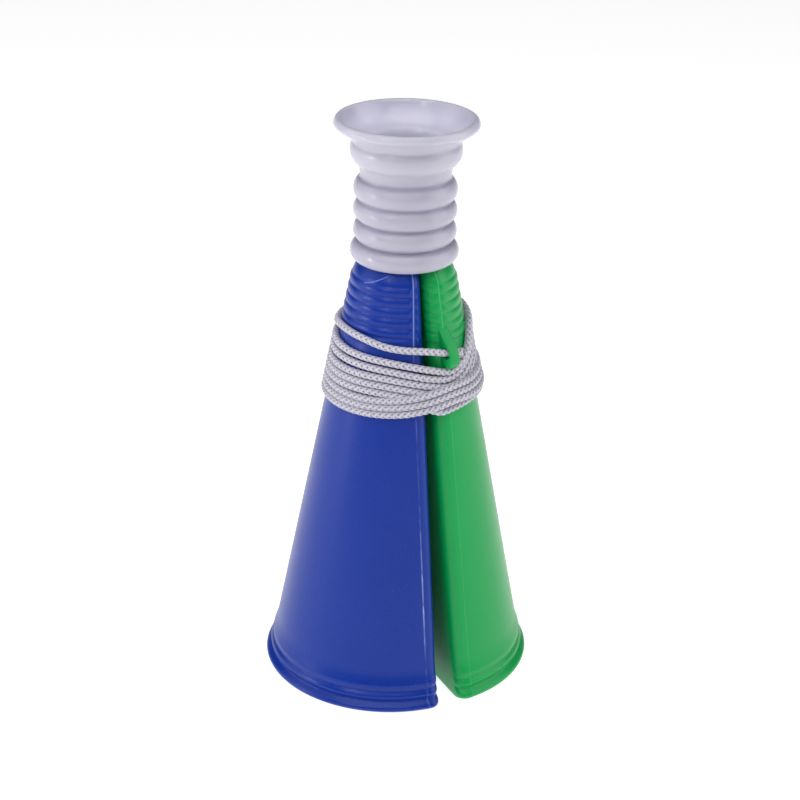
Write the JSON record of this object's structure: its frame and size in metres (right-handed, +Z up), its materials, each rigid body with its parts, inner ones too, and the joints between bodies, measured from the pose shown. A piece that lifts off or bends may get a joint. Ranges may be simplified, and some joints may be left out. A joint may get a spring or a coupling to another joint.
{
  "type": "cheer horn",
  "caption": "Blow horn for cheering: half-cone plastic bells side by side in a corrugated mouthpiece, with a braided lanyard wound round their necks.",
  "frame": {"origin": "centre of the standing horn's footprint, at the floor under the bells' rims", "axes": "+Z up through the mouthpiece; the bells' flat backs face each other across X = 0, blue on -X and green on +X; the lanyard lug is towards -Y"},
  "size_m": [0.105, 0.097, 0.22],
  "materials": {
    "blue_plastic": "satin blow-moulded polyethylene, fine speckle, pale parting line",
    "green_plastic": "satin blow-moulded polyethylene, pale parting line",
    "white_plastic": "soft glossy white polyethylene with a cool tint",
    "reed_plastic": "natural injection-moulded plastic",
    "collar_plastic": "red injection-moulded plastic",
    "tongue_brass": "thin rolled brass strip",
    "lanyard_cord": "white braided polyester cord"
  },
  "bodies": {
    "green_bell": {"green_horn": "green_plastic", "lanyard_strand": "lanyard_cord", "lanyard_winding": "lanyard_cord", "lanyard_lug_knot": "lanyard_cord"},
    "blue_bell": {"blue_horn": "blue_plastic"},
    "reed_unit": {"reed_plate": "reed_plastic", "blue_reed_tube": "reed_plastic", "green_reed_tube": "reed_plastic", "blue_reed_collar": "collar_plastic", "green_reed_collar": "collar_plastic"},
    "mouthpiece": {"mouthpiece": "white_plastic"},
    "blue_tongue": {"blue_reed_tongue": "tongue_brass"},
    "green_tongue": {"green_reed_tongue": "tongue_brass"}
  },
  "joints": [
    {"name": "bell_squeeze", "type": "hinge", "parent": "green_bell", "child": "blue_bell", "pos_m": [0, 0, 0.174], "axis": [0, -1, 0], "range_deg": [0, 2.5], "stiffness_Nm_per_rad": 0.5, "springref_deg": -2.86},
    {"name": "mouthpiece_pull", "type": "slide", "parent": "green_bell", "child": "reed_unit", "axis": [0, 0, 1], "range_m": [0, 0.026]},
    {"name": "mouthpiece_twist", "type": "hinge", "parent": "reed_unit", "child": "mouthpiece", "pos_m": [0, 0, 0.19], "axis": [0, 0, 1], "continuous": true},
    {"name": "blue_reed_beat", "type": "hinge", "parent": "reed_unit", "child": "blue_tongue", "pos_m": [-0.0078, -0.00198, 0.1905], "axis": [-1, 0, 0], "range_deg": [-2, 1.9], "stiffness_Nm_per_rad": 0.02},
    {"name": "green_reed_beat", "type": "hinge", "parent": "reed_unit", "child": "green_tongue", "pos_m": [0.0078, -0.00198, 0.1905], "axis": [-1, 0, 0], "range_deg": [-2, 1.9], "stiffness_Nm_per_rad": 0.02}
  ]
}
